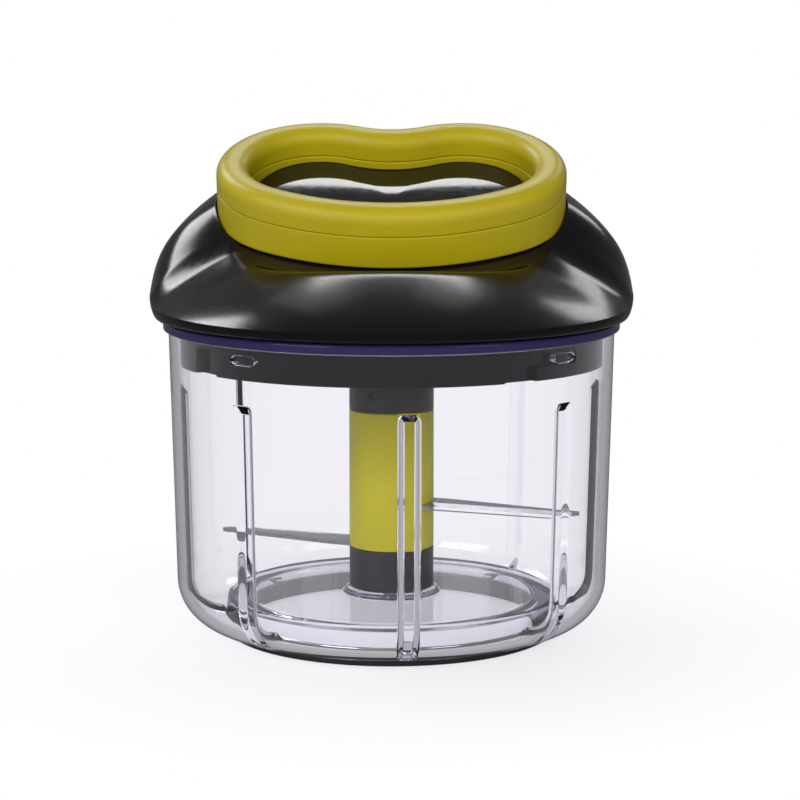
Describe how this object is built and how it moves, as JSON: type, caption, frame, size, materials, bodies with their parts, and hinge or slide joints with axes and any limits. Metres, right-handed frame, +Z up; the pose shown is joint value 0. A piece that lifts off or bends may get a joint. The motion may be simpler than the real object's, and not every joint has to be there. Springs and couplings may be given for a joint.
{
  "type": "hand-pulled food chopper",
  "caption": "Clear ribbed bowl with a bladed centre shaft under a gloss black bayonet lid; a kidney-shaped ring handle on a cord is pulled to spin the blades.",
  "frame": {"origin": "bottom centre, on the table under the bowl's axis", "axes": "+Z up along the blade shaft, -Y towards the low front of the handle, +X to the right seen from the front"},
  "size_m": [0.137, 0.137, 0.144],
  "materials": {
    "clear_plastic": "clear, polished, faint violet tint",
    "foot_rubber": "matt",
    "black_gloss": "polished",
    "inlay_gloss": "polished",
    "green_satin": "satin",
    "green_tube": "satin",
    "black_matte": "satin",
    "white_plastic": "satin",
    "gasket_rubber": "matt",
    "pin_steel": "ground",
    "screw_steel": "zinc",
    "spring_steel": "rolled",
    "blade_steel": "brushed, ground edge",
    "bush_brass": "turned",
    "cord": "braided"
  },
  "bodies": {
    "bowl": {"bowl": "clear_plastic", "foot_ring": "foot_rubber", "spindle_pin": "pin_steel"},
    "lid": {"lid_base": "black_gloss", "lid_dome": "black_gloss", "top_plate": "inlay_gloss", "lid_gasket": "gasket_rubber", "lid_screws": "screw_steel", "drum_axle": "pin_steel", "return_spring": "spring_steel", "spring_cover": "black_matte", "pulley_pin": "pin_steel", "cord_eyelet": "white_plastic", "cord_run": "cord"},
    "drum": {"cord_drum": "white_plastic", "cord_winding": "cord"},
    "pulley": {"guide_pulley": "white_plastic"},
    "blade": {"clutch_hub": "white_plastic", "clutch_pawls": "spring_steel", "drive_shaft": "pin_steel", "retaining_ring": "spring_steel", "shaft_collar": "black_matte", "shaft_tube": "green_tube", "shaft_foot": "black_matte", "pivot_bush": "bush_brass", "upper_blade": "blade_steel", "lower_blade": "blade_steel"},
    "handle": {"handle_top": "green_satin", "handle_bottom": "green_satin", "handle_screws": "screw_steel", "cord_knot": "cord", "cord_lead": "cord"}
  },
  "joints": [
    {"name": "lid_turn", "type": "hinge", "parent": "bowl", "child": "lid", "pos_m": [0, 0, 0.09], "axis": [0, 0, 1], "range_deg": [0, 15]},
    {"name": "handle_pull", "type": "slide", "parent": "lid", "child": "handle", "axis": [0, -0.3584, 0.9336], "range_m": [0, 0.3], "stiffness_N_per_m": 15, "springref_m": -0.2},
    {"name": "drum_spin", "type": "hinge", "parent": "lid", "child": "drum", "pos_m": [0, 0, 0.09], "axis": [0, 0, 1], "range_deg": [-1146, 0], "deforming": ["cord_winding"]},
    {"name": "pulley_spin", "type": "hinge", "parent": "lid", "child": "pulley", "pos_m": [-0.00274, 0.02324, 0.1006], "axis": [0.8359, -0.5488, 0], "range_deg": [0, 3442]},
    {"name": "blade_spin", "type": "hinge", "parent": "lid", "child": "blade", "pos_m": [0, 0, 0.05], "axis": [0, 0, 1], "range_deg": [-1146, 0]}
  ],
  "couplings": [
    {"joint": "drum_spin", "follows": "handle_pull", "rad_per_m": -66.445},
    {"joint": "pulley_spin", "follows": "handle_pull", "rad_per_m": 200},
    {"joint": "blade_spin", "follows": "handle_pull", "rad_per_m": -66.445}
  ]
}
